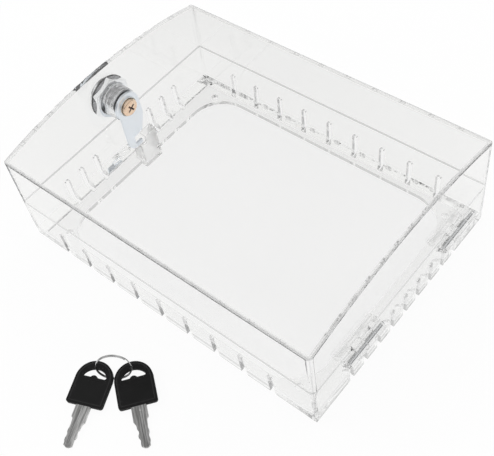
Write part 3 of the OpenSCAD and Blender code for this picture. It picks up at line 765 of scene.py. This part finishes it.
# %% [markdown]
# ## Floor and light
#
# The box lies on a white table in an even white studio. The floor sends white straight to
# the camera and to rays that come through the plastic, a little less to mirrored rays, and
# keeps a share of plain diffuse so that the soft shadow stays. Beside the box it sends
# little to mirrored rays, so that the walls that mirror it look grey. Away from the box it
# grows dimmer, and so does the sky low down, straight up and round one card behind the
# lock: that gives clear edges and bright metal something to show. A ray through rough
# plastic counts as glossy too, so a mirrored ray is one that is glossy and isn't
# transmitted.

# %% Tell the rays apart
def rays(start):
    """Shares for the camera's own rays, rays through clear plastic, and mirrored rays."""
    seen, through, glossy = [start.make("ShaderNodeLightPath", out="Is " + kind + " Ray")
                             for kind in ("Camera", "Transmission", "Glossy")]
    return seen, through, glossy * (1 - through)


print("rays of three kinds see their own floor and sky")

# %% Floor
floor_gap = 0.4 * MM
seen_share, through_share, mirrored_share, mirrored_beside = 0.95, 0.9, 0.85, 0.1

bpy.ops.object.select_all(action="DESELECT")
bpy.ops.mesh.primitive_plane_add(size=6, location=(0, 0, -floor_gap))
floor = bpy.context.object
floor.name = "floor"
bpy.ops.object.transform_apply(location=True, rotation=True, scale=True)
white = bpy.data.materials.new("white_table")
white.use_nodes = True
white.node_tree.nodes.clear()
start = Signal(white.node_tree)
seen, through, mirrored = rays(start)
place = start.make("ShaderNodeTexCoord", out="Object")
fall = graded(length_of(place), 0.25, 1.2, 1.0, 0.62)
beside = largest(size_of(coordinate(place, 0)) - half_l, size_of(coordinate(place, 1)) - half_w)
under_box = 1 - ramp(beside, 0.0, 20 * MM)
mirrored_glow = mirrored_beside + under_box * (mirrored_share - mirrored_beside)
glowing = seen * seen_share + through * through_share + mirrored * mirrored_glow
matt = start.make("ShaderNodeBsdfDiffuse", inputs={"Color": (0.9, 0.9, 0.9, 1)})
glow = start.make("ShaderNodeEmission", inputs={"Strength": seen + (1 - seen) * fall})
table_look = start.make("ShaderNodeMixShader", inputs={0: glowing, 1: matt, 2: glow})
start.make("ShaderNodeOutputMaterial", inputs={"Surface": table_look})
floor.data.materials.append(white)
print("floor at", round(floor.data.vertices[0].co.z / MM, 2), "mm")

# %% World
sky_by_height = [(0.0, 0.25), (0.3, 0.4), (0.6, 1.0), (0.88, 1.0), (1.0, 0.5)]
card_direction = (-0.457, 0.411, 0.789)
card_in_mirror, card_through = 0.8, 0.35

world = bpy.data.worlds.new("studio")
bpy.context.scene.world = world
world.use_nodes = True
world.node_tree.nodes.clear()
sky = Signal(world.node_tree)
seen, through, mirrored = rays(sky)
direction = sky.make("ShaderNodeTexCoord", out="Generated")
band = sky.make("ShaderNodeValToRGB", {"stops": sky_by_height}, {0: coordinate(direction, 2)})
toward = sky.make("ShaderNodeVectorMath", {"operation": "DOT_PRODUCT"},
                  {0: direction, 1: card_direction}, out="Value")
card = ramp(toward, 0.75, 0.95)
sky_strength = 1 - card * (mirrored * card_in_mirror + through * card_through)
light = sky.make("ShaderNodeBackground", inputs={"Color": (1, 1, 1, 1), "Strength": 0.75})
backdrop = sky.make("ShaderNodeBackground", inputs={"Color": band, "Strength": sky_strength})
sky_look = sky.make("ShaderNodeMixShader",
                    inputs={0: seen + through + mirrored, 1: light, 2: backdrop})
sky.make("ShaderNodeOutputWorld", inputs={"Surface": sky_look})
bpy.context.scene.view_settings.view_transform = "Standard"
print("world made")

# %% [markdown]
# Light that enters the edge of a clear wall bounces to and fro in it many times before it
# comes out. With the usual 12 bounces such places would go black, so more are allowed.

# %% Bounces
most_bounces = 64
for kind in ("max_bounces", "transmission_bounces", "glossy_bounces"):
    setattr(bpy.context.scene.cycles, kind, most_bounces)
print("bounces:", most_bounces)

# %% Lamps
def soft_lamp(name, place, size, watts):
    data = bpy.data.lights.new(name, "AREA")
    data.shape = "RECTANGLE"
    data.size, data.size_y = size
    data.energy = watts
    lamp = bpy.data.objects.new(name, data)
    bpy.context.scene.collection.objects.link(lamp)
    lamp.location = place
    lamp.rotation_euler = (-Vector(place)).to_track_quat("-Z", "Y").to_euler()
    lamp.visible_glossy = False
    lamp.visible_transmission = False


soft_lamp("left_softbox", (-0.9, -0.3, 1.3), size=(1.1, 0.8), watts=6.0)
soft_lamp("back_softbox", (0.3, 1.1, 1.2), size=(1.2, 0.6), watts=4.0)
